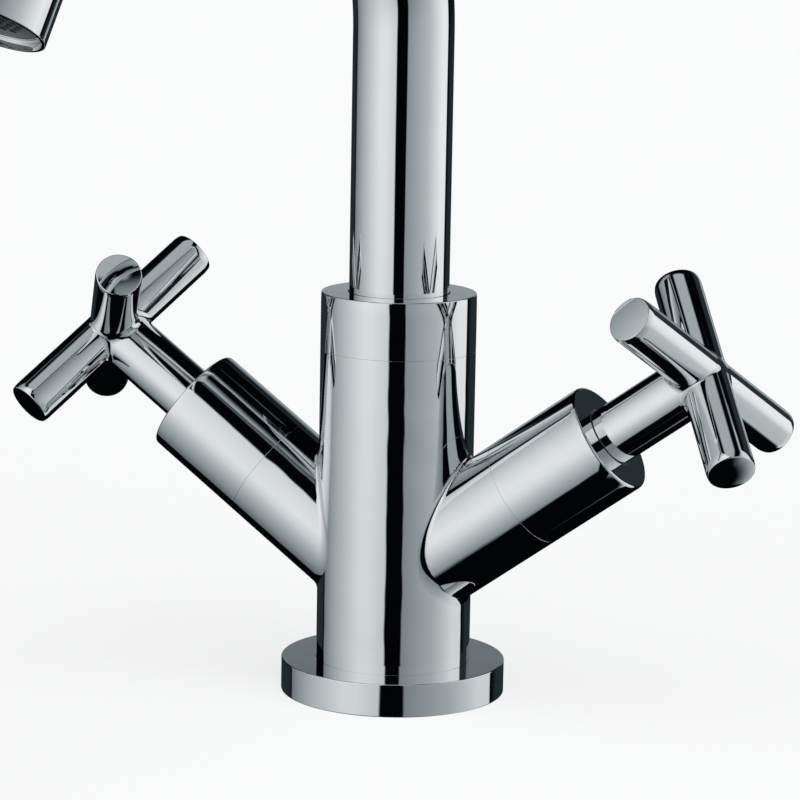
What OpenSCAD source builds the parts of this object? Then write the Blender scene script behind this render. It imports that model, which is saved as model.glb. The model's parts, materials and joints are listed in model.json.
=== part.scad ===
// Basin mixer tap: one round body, two slanted valve arms with cross handles, and a high
// swivel spout that hooks over to a recessed aerator.
// Millimetres, +Z up. The origin is the centre of the base flange's underside, on the deck.
// The arms lie along X, hot on -X and cold on +X. -Y is straight ahead for the spout.

/* [Body] */
// Diameter of the round body and its collar
body_d = 42; // [40:1:48]
// Height of the seam where the collar screws onto the body
body_seam_z = 94.5; // [92:0.5:110]
// Height of the collar above the seam
collar_h = 15.5; // [10:0.5:24]
// Width of the step under the body that rests on the flange's ledge
body_step_w = 3.1; // [2:0.1:3.5]

/* [Base flange] */
// Diameter of the base flange
flange_d = 61; // [58:1:72]
// Height of the base flange
flange_h = 9; // [7:0.5:12]
// Height of the ledge in the flange that carries the body
flange_ledge_h = 5; // [4:0.5:6]
// Middle diameter of the rubber gasket under the flange
gasket_mid_d = 50; // [48:0.5:51]
// Width of that gasket
gasket_w = 4.6; // [3:0.2:5]
// Height of that gasket
gasket_h = 1.9; // [1:0.1:2.4]

/* [Water and fixing holes] */
// Distance of each inlet from the body's centre
inlet_off = 10; // [9:0.5:11]
// Diameter of the tapped inlet, the core of a fine 10 mm thread
inlet_d = 9; // [8:0.1:9.5]
// Depth of the tapped inlet
inlet_depth = 12; // [9:0.5:16]
// Diameter of the water channel above each inlet
channel_d = 7; // [5:0.5:8]
// Diameter of the tapped hole for the fixing stud, the core of an 8 mm thread
stud_hole_d = 6.7; // [5:0.1:8]
// Depth of the fixing stud's hole
stud_hole_depth = 15; // [10:1:22]
// Distance of the fixing stud's hole behind the body's centre
stud_hole_off = 11; // [10:0.5:12]
// Diameter of the passage that joins both valves to the middle
port_d = 7; // [5:0.5:7.5]
// Height of that passage
port_z = 52; // [51.5:0.5:54]
// Diameter of the mixing chamber
mixing_d = 14; // [10:1:16]

/* [Arms] */
// Diameter of the slanted arms and of the sleeves on them
arm_d = 31; // [30:0.5:34]
// Angle of the arms above the deck
arm_angle = 36; // [34:1:38]
// Height at which the arms' axes cross the body's axis
arm_root_z = 31.4; // [30:0.2:32]
// Distance along the arm from the body's axis to the seam with the sleeve
arm_seam = 46; // [44:0.5:52]
// Length of the threaded spigot that the sleeve screws onto
arm_spigot_len = 4; // [3:0.5:6]
// Thickness of the sleeve's wall
sleeve_wall = 2.05; // [1.8:0.05:2.2]
// Length of the sleeve
sleeve_len = 29; // [28.5:0.5:34]
// Thickness of the sleeve's end wall
sleeve_end = 3.5; // [2.5:0.1:4]
// Thickness of the lip at the outside of that wall, which hides the guide ring
sleeve_lip_h = 0.8; // [0.5:0.1:1.2]
// Radial gap between that lip and the handle's stem
stem_gap = 0.5; // [0.3:0.05:0.8]

/* [Valves] */
// Distance along the arm from the body's axis to the valve seat
seat_dist = 20; // [19:0.5:21]
// Diameter of the hole through the valve seat
seat_hole_d = 9; // [7:0.5:9.5]
// Diameter of the valve chamber in the arm
chamber_d = 20.4; // [20:0.1:21]
// Diameter of the valve housing's nose
nose_d = 18; // [17.4:0.2:19]
// Diameter of the ceramic discs
disc_d = 15; // [14:0.2:15.4]
// Thickness of each ceramic disc
disc_h = 3; // [2.4:0.1:3.4]
// Diameter of the two ports in each disc
disc_port_d = 4.8; // [3:0.2:5.2]
// Distance of a port from the disc's centre
disc_port_off = 4; // [3.6:0.1:4.4]
// Thickness of the rubber seat seal
seat_seal_h = 2.6; // [2:0.1:3.2]
// Length of the housing's disc chamber
disc_chamber_len = 12.4; // [11.8:0.2:13.4]
// Length of the water windows in the housing's nose
window_len = 4.6; // [3:0.2:5]
// Width of the water windows
window_w = 9; // [6:0.5:11]
// Width across the flats of the housing's hexagon
hex_flats = 21; // [20:0.2:22]
// Height of the housing's hexagon
hex_h = 6; // [5:0.5:6.5]
// Height of the gasket under the hexagon
hex_gasket_h = 1; // [0.8:0.1:1.4]
// Diameter of the housing's neck above the hexagon
neck_d = 15; // [13:0.5:17]
// Diameter of the spindle
spindle_d = 10; // [9:0.2:10.4]
// Diameter of the spindle's waist in the disc chamber
waist_d = 6.4; // [5:0.2:7]
// Thickness of the spindle's driving plate
driver_h = 1.5; // [1:0.1:2]
// Width of the tang that turns the moving disc
tang_w = 2.2; // [1.6:0.1:2.6]
// Depth of that tang
tang_h = 1.15; // [0.8:0.05:1.4]
// Diameter over the tips of the spindle's spline
spline_d = 8; // [7:0.1:8.6]
// Depth of the spline's teeth
spline_depth = 0.5; // [0.3:0.05:0.6]
// Number of teeth on the spline
spline_teeth = 20; // [16:1:24]
// Length of the plain spindle between the neck and the spline
spindle_step = 2; // [1.8:0.1:2.4]
// Length of the spline
spline_len = 18; // [17:0.5:20]
// Distance by which the spline runs out past the sleeve's end face
spline_out = 9; // [8.5:0.5:10]

/* [Handles] */
// Diameter of the handle's stem
stem_d = 16; // [15:0.5:17]
// Distance from the sleeve's end face to the middle of the cross
stem_out = 31; // [26:0.5:36]
// Diameter of the cross bars
bar_d = 12.8; // [10:0.2:14]
// Length of each cross bar between the rims of its domed ends
bar_span = 66.5; // [56:0.5:80]
// Angle at which the hot cross sits on its spline
hot_cross_angle = 44.5; // [0:0.5:89]
// Angle at which the cold cross sits on its spline
cold_cross_angle = 48.5; // [0:0.5:89]
// Wall between the spindle's spline and the stem, taken up by the insert
insert_wall = 1.5; // [1.2:0.1:1.8]
// Diameter of the grub screw that locks the handle
grub_d = 4; // [3:0.1:5]
// Distance of that screw from the sleeve's end face
grub_out = 4; // [3.5:0.1:5]
// Angle of that screw from the underside towards the rear
grub_turn = 30; // [0:1:60]
// Wall of the guide ring between the stem and the sleeve
guide_wall = 1.2; // [0.8:0.1:1.6]
// Height of the guide ring's inner lip
guide_lip_h = 1; // [0.8:0.1:1.2]
// Width of the guide ring's inner lip
guide_lip_w = 1; // [0.6:0.1:1.4]

/* [Spout] */
// Diameter of the spout's tube
tube_d = 27; // [25:0.5:28]
// Thickness of the tube's wall
tube_wall = 1.5; // [1.2:0.1:1.6]
// Height at which the tube begins to bend
riser_z = 180; // [150:1:220]
// Radius of the bend, to the tube's middle
bend_r = 73; // [56:0.5:90]
// Angle that the bend turns through
bend_sweep = 152; // [135:1:165]
// Length of the straight end piece beyond the bend
outlet_run = 30.3; // [22:0.1:40]
// Angle from straight ahead at which the spout stands at rest, towards the hot side
spout_turn = 17.5; // [0:0.5:45]
// Angle that the spout swings to each side of straight ahead
spout_swing_angle = 60; // [45:1:70]
// Diameter of the tube's recess that holds the aerator
aerator_bore_d = 25.2; // [25:0.1:25.4]
// Depth of that recess
aerator_bore_depth = 10; // [9:0.5:12]
// Distance by which the aerator sits back from the tube's end
aerator_recess = 1.9; // [1:0.1:2.5]
// Length of the aerator's ring
aerator_len = 6.5; // [6:0.1:7]
// Wall of the aerator's ring
aerator_wall = 1.7; // [1.2:0.1:2]
// Distance by which the honeycomb sits back inside the ring
honeycomb_recess = 0.5; // [0.3:0.1:0.8]
// Thickness of the honeycomb
honeycomb_h = 3; // [2:0.1:3.5]
// Width across the flats of a honeycomb cell
cell_flats = 1.9; // [1.5:0.1:2.4]
// Wall between two cells
cell_wall = 0.45; // [0.3:0.05:0.6]
// Thickness of the strainer disc behind the honeycomb
screen_h = 0.8; // [0.5:0.1:1.2]
// Diameter of the strainer's holes
screen_hole_d = 1.3; // [0.8:0.1:1.5]
// Distance between the strainer's rings of holes
screen_pitch = 2.6; // [2.4:0.1:2.9]
// Thickness of the aerator's rubber washer
aerator_seal_h = 1.4; // [1:0.1:1.5]

/* [Spout foot] */
// Distance from the collar's seam down to the seat that the foot turns on
foot_seat_drop = 15.5; // [15:0.5:18]
// Width by which the foot's flange stands out past the tube
foot_lip = 2; // [1.6:0.1:2.2]
// Thickness of the foot's flange
foot_flange_h = 3; // [2.8:0.1:3.5]
// Length of the foot's spigot below its flange
foot_spigot_len = 19; // [17:0.5:20]
// Length of the foot's neck inside the tube
foot_neck_len = 10; // [8:0.5:12]
// Diameter of the waterway through the foot
foot_bore_d = 16; // [13:0.5:17]
// Thickness of each glide ring
glide_h = 1; // [0.8:0.1:1.2]
// Width of the collar's thread wall outside the tube
collar_thread_w = 3.5; // [3.2:0.1:3.9]
// Diameter of the rubber of the foot's sealing rings
foot_ring_cord = 1.96; // [1.6:0.02:2.1]
// Distance of the lower sealing ring from the foot's lower end
foot_ring_low = 5; // [4:0.5:6]
// Distance between the two sealing rings
foot_ring_pitch = 7; // [6:0.5:8]
// Diameter of the screw that limits the spout's swing
stop_screw_d = 4; // [3:0.1:5]
// Diameter of that screw's plain tip
stop_tip_d = 2.4; // [2:0.1:2.6]
// Depth to which the tip enters the foot's notch
stop_reach = 0.9; // [0.6:0.1:1]

/* [Fits] */
// Radial play of a screwed or pushed fit
fit_gap = 0.05; // [0.02:0.01:0.08]
// Radial play of a piece that turns
running_gap = 0.08; // [0.05:0.01:0.1]
// Flat gap between faces that slide on each other
slide_gap = 0.05; // [0.03:0.01:0.1]
// Radial gap round the tube where it leaves the collar
collar_gap = 0.3; // [0.2:0.05:0.5]
// Free space between pieces that don't touch
free_gap = 0.3; // [0.2:0.05:0.5]
// Height of the body's foot above the deck, so that the flange takes the load
deck_gap = 0.4; // [0.2:0.1:0.8]
// Height of the relaxed gasket above the deck
gasket_gap = 0.1; // [0.1:0.05:0.3]

/* [Hidden] */
$fn = 96;

// Which side an arm is on
cold = 1;
hot = -1;

// How far a cut runs past the face that it opens
overrun = 1;

// Heights in the body
collar_top_z = body_seam_z + collar_h;
foot_seat_z = body_seam_z - foot_seat_drop;
foot_flange_z = foot_seat_z + glide_h + slide_gap;
tube_base_z = foot_flange_z + foot_flange_h;
upper_ring_z = tube_base_z + slide_gap;
collar_base_z = upper_ring_z + glide_h;
foot_end_z = foot_flange_z - foot_spigot_len;
foot_bore_end_z = foot_end_z - overrun;
stop_z = foot_flange_z + foot_flange_h / 2;

// Radii about the body's axis
body_r = body_d / 2;
tube_r = tube_d / 2;
tube_in_r = tube_r - tube_wall;
foot_r = tube_in_r - fit_gap;
foot_well_r = foot_r + running_gap;
foot_flange_r = tube_r + foot_lip;
collar_bore_r = tube_r + collar_gap;
collar_thread_r = tube_r + collar_thread_w;
collar_well_r = collar_thread_r + fit_gap;
spigot_r = body_r - body_step_w;
foot_ring_r = foot_ring_cord / 2;
foot_ring_mid_r = foot_well_r - foot_ring_r - fit_gap / 2;
foot_groove_r = foot_ring_mid_r - foot_ring_r - fit_gap / 2;
foot_groove_w = foot_ring_cord + 2 * free_gap;
stop_tip_r = stop_tip_d / 2;
stop_tip_end_r = foot_flange_r - stop_reach;
notch_r = stop_tip_end_r - free_gap;
// Half the angle of the notch, so that the tip meets its end just past the full swing
notch_half = spout_swing_angle + asin((stop_tip_r + free_gap) / notch_r);

// Distances along an arm, from the body's axis
arm_r = arm_d / 2;
sleeve_bore_r = arm_r - sleeve_wall;
arm_spigot_r = sleeve_bore_r - fit_gap;
arm_spigot_end = arm_seam + arm_spigot_len;
sleeve_face = arm_seam + sleeve_len;
sleeve_inner = sleeve_face - sleeve_end;
chamber_r = chamber_d / 2;
thread_r = chamber_r - fit_gap;
nose_r = nose_d / 2;
disc_r = disc_d / 2;
disc_bore_r = disc_r + running_gap;
nose_base = seat_dist + seat_seal_h;
disc_chamber_end = nose_base + disc_chamber_len;
fixed_disc_base = nose_base + slide_gap;
moving_disc_base = fixed_disc_base + disc_h + slide_gap;
driver_base = moving_disc_base + disc_h + slide_gap;
window_end = disc_chamber_end - free_gap;
hex_base = arm_spigot_end + hex_gasket_h;
hex_top = hex_base + hex_h;
hex_r = hex_flats / 2 / cos(30);
spindle_r = spindle_d / 2;
spindle_bore_r = spindle_r + running_gap;
waist_r = waist_d / 2;
spline_r = spline_d / 2;
spline_end = sleeve_face + spline_out;
spline_base = spline_end - spline_len;
neck_end = spline_base - spindle_step;
// The chamber's seat recess is as wide as the nose, and the rest leaves room round it
seat_well_r = nose_r + free_gap;
well_disc_share = 0.5;
seat_well_len = seat_seal_h + disc_h * well_disc_share;

// The spindle's own seal and clip, as shares of the step and of the spindle's radius
clip_h_share = 1 / 3;
clip_wall_share = 1 / 4;
spindle_cord_share = 1 / 7;
clip_h = spindle_step * clip_h_share;
clip_base = neck_end + slide_gap;
clip_wall = spindle_r * clip_wall_share;
spindle_cord_r = spindle_r * spindle_cord_share;
spindle_ring_mid_r = spindle_bore_r - spindle_cord_r - fit_gap / 2;
spindle_groove_r = spindle_ring_mid_r - spindle_cord_r - fit_gap / 2;
spindle_groove_w = 2 * (spindle_cord_r + free_gap);
spindle_ring_dist = (hex_top + neck_end) / 2;

// The handle's stem, insert and screw
stem_r = stem_d / 2;
bar_r = bar_d / 2;
// The bars' domed ends lie on a sphere about the middle of the cross, through their rims
bar_end_r = norm([bar_span / 2, bar_r]);
cross_dist = sleeve_face + stem_out;
stem_base = spline_base + free_gap;
insert_r = spline_r + fit_gap + insert_wall;
insert_base = stem_base + free_gap;
insert_end = spline_end - free_gap;
stem_bore_r = insert_r + fit_gap;
stem_bore_end = spline_end + free_gap;
grub_r = grub_d / 2;
grub_dist = sleeve_face + grub_out;
grub_inner_r = spline_r + fit_gap;
grub_outer_r = stem_r - free_gap;
guide_bore_r = stem_r + running_gap;
guide_r = guide_bore_r + guide_wall;
guide_hole_r = guide_r + fit_gap;

// The socket of a grub screw, as shares of the screw
socket_width_share = 0.5;
socket_depth_share = 0.5;

// The aerator, measured from the end of the bend
aerator_bore_r = aerator_bore_d / 2;
aerator_r = aerator_bore_r - fit_gap;
aerator_in_r = aerator_r - aerator_wall;
aerator_face = outlet_run - aerator_recess;
aerator_back = aerator_face - aerator_len;
honeycomb_face = aerator_face - honeycomb_recess;
honeycomb_back = honeycomb_face - honeycomb_h;
honeycomb_r = aerator_in_r - fit_gap;
rim_walls = 3;
honeycomb_rim = rim_walls * cell_wall;
cell_pitch = cell_flats + cell_wall;
cell_r = cell_flats / 2 / cos(30);
cell_rings = floor((honeycomb_r - honeycomb_rim - cell_r) / cell_pitch);
screen_back = honeycomb_back - slide_gap - screen_h;
screen_rings = floor((honeycomb_r - screen_hole_d) / screen_pitch);

// Water channels in the body
channel_top_z = arm_root_z + inlet_off * tan(arm_angle);
port_half = body_r;

// A ring with a rectangular section
module ring(inner_r, outer_r, h) {
  difference() {
    cylinder(h = h, r = outer_r);
    translate([0, 0, -overrun]) cylinder(h = h + 2 * overrun, r = inner_r);
  }
}

// A ring with a round section, such as a rubber sealing ring
module cord_ring(mid_r, cord_r) {
  rotate_extrude() translate([mid_r, 0]) circle(r = cord_r);
}

// A groove of the given floor radius, cut into a round shaft
module groove_cut(floor_r, outer_r, w) {
  translate([0, 0, -w / 2]) ring(floor_r, outer_r + overrun, w);
}

// Puts children on an arm: their +Z runs outwards along it from the body's axis
module on_arm(side) {
  translate([0, 0, arm_root_z]) rotate([0, side * (90 - arm_angle), 0]) children();
}

// Puts children at a distance along an arm
module along_arm(side, dist) {
  on_arm(side) translate([0, 0, dist]) children();
}

// Turns children with the spout, as it stands at rest
module on_spout() {
  rotate([0, 0, -spout_turn]) children();
}

// Puts children at the end of the spout's bend: their +Z runs on towards the outlet
module after_bend() {
  on_spout() translate([0, -bend_r, riser_z]) rotate([90, 0, 90])
    rotate([0, 0, bend_sweep]) translate([bend_r, 0, 0]) rotate([-90, 0, 0]) children();
}

// The teeth of the spline, or the hole that takes them when play is more than zero
function spline_points(play) = [
  for (i = [0 : 2 * spline_teeth - 1])
    let (a = i * 180 / spline_teeth, r = spline_r + play - (i % 2) * spline_depth)
      [r * cos(a), r * sin(a)]
];

// The cast body with its two arms, the water channels and the seats of all that it holds
module main_body() {
  color("silver") difference() {
    union() {
      translate([0, 0, flange_ledge_h]) cylinder(h = body_seam_z - flange_ledge_h, r = body_r);
      translate([0, 0, deck_gap]) cylinder(h = flange_ledge_h - deck_gap + overrun, r = spigot_r);
      for (side = [hot, cold]) {
        on_arm(side) cylinder(h = arm_seam, r = arm_r);
        along_arm(side, arm_seam - overrun)
          cylinder(h = arm_spigot_len + overrun, r = arm_spigot_r);
      }
    }
    for (side = [hot, cold]) {
      // The valve's chamber, its seat recess and the hole through the seat
      along_arm(side, seat_dist) cylinder(h = seat_well_len + overrun, r = seat_well_r);
      along_arm(side, seat_dist + seat_well_len)
        cylinder(h = arm_spigot_end - seat_dist - seat_well_len + overrun, r = chamber_r);
      along_arm(side, inlet_off) cylinder(h = seat_dist - inlet_off + overrun, d = seat_hole_d);
      // The tapped inlet and the channel above it
      translate([side * inlet_off, 0, deck_gap - overrun])
        cylinder(h = inlet_depth + overrun, d = inlet_d);
      translate([side * inlet_off, 0, deck_gap])
        cylinder(h = channel_top_z - deck_gap, d = channel_d);
    }
    // The passage from both valves to the middle, and the mixing chamber above it
    translate([-port_half, 0, port_z]) rotate([0, 90, 0]) cylinder(h = 2 * port_half, d = port_d);
    translate([0, 0, port_z]) cylinder(h = foot_bore_end_z - port_z + overrun, d = mixing_d);
    // The well that the spout's foot turns in, and the one that the collar screws into
    translate([0, 0, foot_bore_end_z])
      cylinder(h = foot_seat_z - foot_bore_end_z + overrun, r = foot_well_r);
    translate([0, 0, foot_seat_z])
      cylinder(h = body_seam_z - foot_seat_z + overrun, r = collar_well_r);
    // The tapped holes for the fixing stud and for the stop screw
    translate([0, stud_hole_off, deck_gap - overrun])
      cylinder(h = stud_hole_depth + overrun, d = stud_hole_d);
    translate([0, 0, stop_z]) rotate([-90, 0, 0])
      cylinder(h = body_r + overrun, r = stop_screw_d / 2 + fit_gap);
  }
}

// The separate base flange: a ledge inside it carries the body
module base_flange() {
  color("silver") difference() {
    cylinder(h = flange_h, d = flange_d);
    translate([0, 0, flange_ledge_h]) cylinder(h = flange_h, r = body_r + fit_gap);
    translate([0, 0, -overrun]) cylinder(h = flange_h, r = spigot_r + fit_gap);
    translate([0, 0, -overrun])
      ring((gasket_mid_d - gasket_w) / 2 - fit_gap, (gasket_mid_d + gasket_w) / 2 + fit_gap,
           gasket_h + gasket_gap + overrun);
  }
}

// The rubber gasket in the groove under the flange
module flange_gasket() {
  color("dimgray") translate([0, 0, gasket_gap])
    ring((gasket_mid_d - gasket_w) / 2, (gasket_mid_d + gasket_w) / 2, gasket_h);
}

// The collar: it screws into the body and holds the spout's foot down
module body_collar() {
  color("silver") difference() {
    union() {
      translate([0, 0, body_seam_z]) cylinder(h = collar_h, r = body_r);
      translate([0, 0, collar_base_z])
        cylinder(h = body_seam_z - collar_base_z + overrun, r = collar_thread_r);
    }
    translate([0, 0, collar_base_z - overrun])
      cylinder(h = collar_top_z - collar_base_z + 2 * overrun, r = collar_bore_r);
  }
}

// The slippery rings above and below the foot's flange
module lower_glide_ring() {
  color("ivory") translate([0, 0, foot_seat_z])
    ring(foot_well_r + free_gap, collar_thread_r - free_gap, glide_h);
}

module upper_glide_ring() {
  color("ivory") translate([0, 0, upper_ring_z])
    ring(collar_bore_r, collar_thread_r - free_gap, glide_h);
}

// A headless screw along +Z: its hexagon socket opens at the top
module grub_screw(len, r) {
  difference() {
    cylinder(h = len, r = r);
    translate([0, 0, len * (1 - socket_depth_share)])
      cylinder(h = len, r = r * socket_width_share, $fn = 6);
  }
}

// The screw at the back of the body: its plain tip runs in the foot's notch
module spout_stop_screw() {
  color("gray") translate([0, 0, stop_z]) rotate([-90, 0, 0]) {
    translate([0, 0, stop_tip_end_r])
      cylinder(h = collar_well_r - stop_tip_end_r + fit_gap, r = stop_tip_r);
    translate([0, 0, collar_well_r])
      grub_screw(body_r - free_gap - collar_well_r, stop_screw_d / 2);
  }
}

// The sleeve that continues an arm and hides the valve
module sleeve(side) {
  color("silver") along_arm(side, arm_seam) difference() {
    cylinder(h = sleeve_len, r = arm_r);
    translate([0, 0, -overrun])
      cylinder(h = sleeve_len - sleeve_end + overrun, r = sleeve_bore_r);
    // The guide ring's seat, and the hole in the lip that the stem comes out of
    cylinder(h = sleeve_len - sleeve_lip_h, r = guide_hole_r);
    cylinder(h = sleeve_len + overrun, r = stem_r + stem_gap);
  }
}

// The brass valve housing, screwed into the arm
module valve_housing(side) {
  color("goldenrod") on_arm(side) difference() {
    union() {
      translate([0, 0, nose_base]) cylinder(h = arm_seam - nose_base, r = nose_r);
      translate([0, 0, disc_chamber_end + free_gap])
        cylinder(h = hex_base - disc_chamber_end - free_gap + overrun, r = thread_r);
      translate([0, 0, hex_base]) cylinder(h = hex_h, r = hex_r, $fn = 6);
      translate([0, 0, hex_base]) cylinder(h = neck_end - hex_base, d = neck_d);
    }
    translate([0, 0, nose_base - overrun])
      cylinder(h = disc_chamber_len + overrun, r = disc_bore_r);
    translate([0, 0, nose_base]) cylinder(h = neck_end - nose_base + overrun, r = spindle_bore_r);
    translate([-nose_d, -window_w / 2, window_end - window_len])
      cube([2 * nose_d, window_w, window_len]);
  }
}

// The disc that stays put: its ports lie across those of the moving disc when closed
module fixed_disc(side) {
  color("white") along_arm(side, fixed_disc_base) difference() {
    cylinder(h = disc_h, r = disc_r);
    for (way = [-1, 1]) translate([way * disc_port_off, 0, -overrun])
      cylinder(h = disc_h + 2 * overrun, d = disc_port_d);
  }
}

// The rubber seal between the valve and its seat
module seat_seal(side) {
  color("dimgray") along_arm(side, seat_dist) ring(seat_hole_d / 2, nose_r - free_gap, seat_seal_h);
}

// The gasket between the arm's end and the housing's hexagon
module housing_gasket(side) {
  color("firebrick") along_arm(side, arm_spigot_end)
    ring(chamber_r + fit_gap, arm_spigot_r - free_gap, hex_gasket_h);
}

// The plastic ring that centres the stem in the sleeve's end
module stem_guide(side) {
  color("gray") on_arm(side) difference() {
    union() {
      translate([0, 0, sleeve_inner])
        cylinder(h = sleeve_end - sleeve_lip_h - fit_gap, r = guide_r);
      translate([0, 0, sleeve_inner - guide_lip_h])
        cylinder(h = guide_lip_h, r = guide_r + guide_lip_w);
    }
    translate([0, 0, sleeve_inner - guide_lip_h - overrun])
      cylinder(h = guide_lip_h + sleeve_end + 2 * overrun, r = guide_bore_r);
  }
}

// The riser and the bend as a solid rod of one radius
module spout_rod(r, base_z) {
  on_spout() {
    translate([0, 0, base_z]) cylinder(h = riser_z - base_z, r = r);
    translate([0, -bend_r, riser_z]) rotate([90, 0, 90])
      rotate_extrude(angle = bend_sweep) translate([bend_r, 0]) circle(r = r);
  }
}

// The bent tube of the spout
module spout_tube() {
  color("silver") difference() {
    spout_rod(tube_r, tube_base_z);
    spout_rod(tube_in_r, tube_base_z - overrun);
  }
}

// The turned end of the spout, soldered to the bend: its wider bore takes the aerator
module spout_end() {
  color("silver") after_bend() difference() {
    cylinder(h = outlet_run, r = tube_r);
    translate([0, 0, -overrun]) cylinder(h = outlet_run + 2 * overrun, r = tube_in_r);
    translate([0, 0, outlet_run - aerator_bore_depth])
      cylinder(h = aerator_bore_depth + overrun, r = aerator_bore_r);
  }
}

// The foot soldered into the tube: a sealed spigot, and a flange with the swing notch
module spout_foot() {
  color("goldenrod") on_spout() difference() {
    union() {
      translate([0, 0, foot_end_z])
        cylinder(h = tube_base_z - foot_end_z + foot_neck_len, r = foot_r);
      translate([0, 0, foot_flange_z]) cylinder(h = foot_flange_h, r = foot_flange_r);
    }
    translate([0, 0, foot_end_z - overrun])
      cylinder(h = tube_base_z - foot_end_z + foot_neck_len + 2 * overrun, d = foot_bore_d);
    for (i = [0, 1])
      translate([0, 0, foot_end_z + foot_ring_low + i * foot_ring_pitch])
        groove_cut(foot_groove_r, foot_r, foot_groove_w);
    translate([0, 0, foot_flange_z - overrun]) rotate([0, 0, 90 - notch_half])
      rotate_extrude(angle = 2 * notch_half) translate([notch_r, 0])
        square([foot_flange_r - notch_r + overrun, foot_flange_h + 2 * overrun]);
  }
}

// One of the foot's two sealing rings
module foot_seal(i) {
  color("dimgray") on_spout() translate([0, 0, foot_end_z + foot_ring_low + i * foot_ring_pitch])
    cord_ring(foot_ring_mid_r, foot_ring_r);
}

// The ring that screws into the spout's end and holds the aerator
module aerator_ring() {
  color("silver") after_bend() translate([0, 0, aerator_back])
    ring(aerator_in_r, aerator_r, aerator_len);
}

// Places children at every cell of the honeycomb, in a six-sided field
module at_cells() {
  for (row = [-cell_rings : cell_rings])
    for (col = [-cell_rings : cell_rings])
      if (abs(row + col) <= cell_rings)
        translate([cell_pitch * (col + row / 2), cell_pitch * row * cos(30)]) children();
}

// The plastic honeycomb that straightens the water
module aerator_honeycomb() {
  color("dimgray") after_bend() translate([0, 0, honeycomb_back])
    linear_extrude(height = honeycomb_h) difference() {
      circle(r = honeycomb_r);
      at_cells() rotate([0, 0, 30]) circle(r = cell_r, $fn = 6);
    }
}

// The strainer disc behind the honeycomb: rings of small holes
module aerator_strainer() {
  color("gray") after_bend() translate([0, 0, screen_back])
    linear_extrude(height = screen_h) difference() {
      circle(r = honeycomb_r);
      circle(d = screen_hole_d);
      for (k = [1 : screen_rings - 1])
        for (i = [0 : 6 * k - 1])
          rotate([0, 0, i * 60 / k]) translate([k * screen_pitch, 0]) circle(d = screen_hole_d);
    }
}

// The rubber washer that seals the aerator in the spout
module aerator_washer() {
  color("dimgray") after_bend() translate([0, 0, aerator_back - aerator_seal_h])
    ring(aerator_in_r, aerator_r - fit_gap, aerator_seal_h);
}

// The handle: a stem and two crossed bars, with a bore for the spline insert
module cross_handle(side, turn) {
  color("silver") on_arm(side) difference() {
    union() {
      translate([0, 0, stem_base]) cylinder(h = cross_dist - stem_base, r = stem_r);
      for (quarter = [0, 90])
        translate([0, 0, cross_dist]) rotate([0, 0, turn + quarter]) rotate([0, 90, 0])
          intersection() {
            cylinder(h = 2 * bar_end_r, r = bar_r, center = true);
            sphere(r = bar_end_r);
          }
    }
    translate([0, 0, stem_base - overrun])
      cylinder(h = stem_bore_end - stem_base + overrun, r = stem_bore_r);
    at_grub_screw(side) cylinder(h = stem_r + overrun, r = grub_r + fit_gap);
  }
}

// Turns +Z to point out of the stem at the grub screw, on the rear of its underside
module at_grub_screw(side) {
  translate([0, 0, grub_dist]) rotate([0, 0, side > 0 ? grub_turn : 180 - grub_turn])
    rotate([0, 90, 0]) children();
}

// The screw that locks a handle on its spindle
module handle_grub_screw(side) {
  color("gray") on_arm(side) at_grub_screw(side) translate([0, 0, grub_inner_r])
    grub_screw(grub_outer_r - grub_inner_r, grub_r);
}

// The spindle: tang, driving plate, waist, shaft and spline, in one piece of brass
module spindle(side) {
  color("goldenrod") on_arm(side) difference() {
    union() {
      translate([-(disc_r - running_gap), -tang_w / 2, driver_base - tang_h])
        cube([2 * (disc_r - running_gap), tang_w, tang_h + driver_h / 2]);
      translate([0, 0, driver_base]) cylinder(h = driver_h, r = disc_r);
      translate([0, 0, driver_base])
        cylinder(h = disc_chamber_end - driver_base + overrun, r = waist_r);
      translate([0, 0, disc_chamber_end + free_gap])
        cylinder(h = spline_base - disc_chamber_end - free_gap, r = spindle_r);
      translate([0, 0, spline_base - overrun])
        linear_extrude(height = spline_len + overrun) polygon(spline_points(0));
    }
    for (way = [-1, 1]) translate([0, way * disc_port_off, driver_base - overrun])
      cylinder(h = driver_h + overrun, d = disc_port_d);
    translate([0, 0, spindle_ring_dist])
      groove_cut(spindle_groove_r, spindle_r, spindle_groove_w);
    translate([0, 0, clip_base + clip_h / 2])
      groove_cut(spindle_r - clip_wall, spindle_r, clip_h + 2 * slide_gap);
  }
}

// The disc that turns with the spindle
module moving_disc(side) {
  color("white") along_arm(side, moving_disc_base) difference() {
    cylinder(h = disc_h, r = disc_r);
    for (way = [-1, 1]) translate([0, way * disc_port_off, -overrun])
      cylinder(h = disc_h + 2 * overrun, d = disc_port_d);
    translate([-disc_d, -tang_w / 2 - slide_gap, disc_h - tang_h])
      cube([2 * disc_d, tang_w + 2 * slide_gap, tang_h + overrun]);
  }
}

// The insert between the spline and the stem, drilled for the grub screw
module spline_insert(side) {
  color("ivory") on_arm(side) difference() {
    translate([0, 0, insert_base]) cylinder(h = insert_end - insert_base, r = insert_r);
    translate([0, 0, insert_base - overrun])
      linear_extrude(height = insert_end - insert_base + 2 * overrun)
        polygon(spline_points(fit_gap));
    at_grub_screw(side) cylinder(h = insert_r + overrun, r = grub_r + fit_gap);
  }
}

// The sealing ring round the spindle
module spindle_seal(side) {
  color("dimgray") along_arm(side, spindle_ring_dist)
    cord_ring(spindle_ring_mid_r, spindle_cord_r);
}

// The open clip that keeps the spindle from sliding inwards
module spindle_clip(side) {
  color("gray") along_arm(side, clip_base + slide_gap) difference() {
    ring(spindle_r - clip_wall + fit_gap, spindle_r + clip_wall, clip_h);
    translate([0, -clip_wall, -overrun])
      cube([spindle_d, 2 * clip_wall, clip_h + 2 * overrun]);
  }
}

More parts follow.
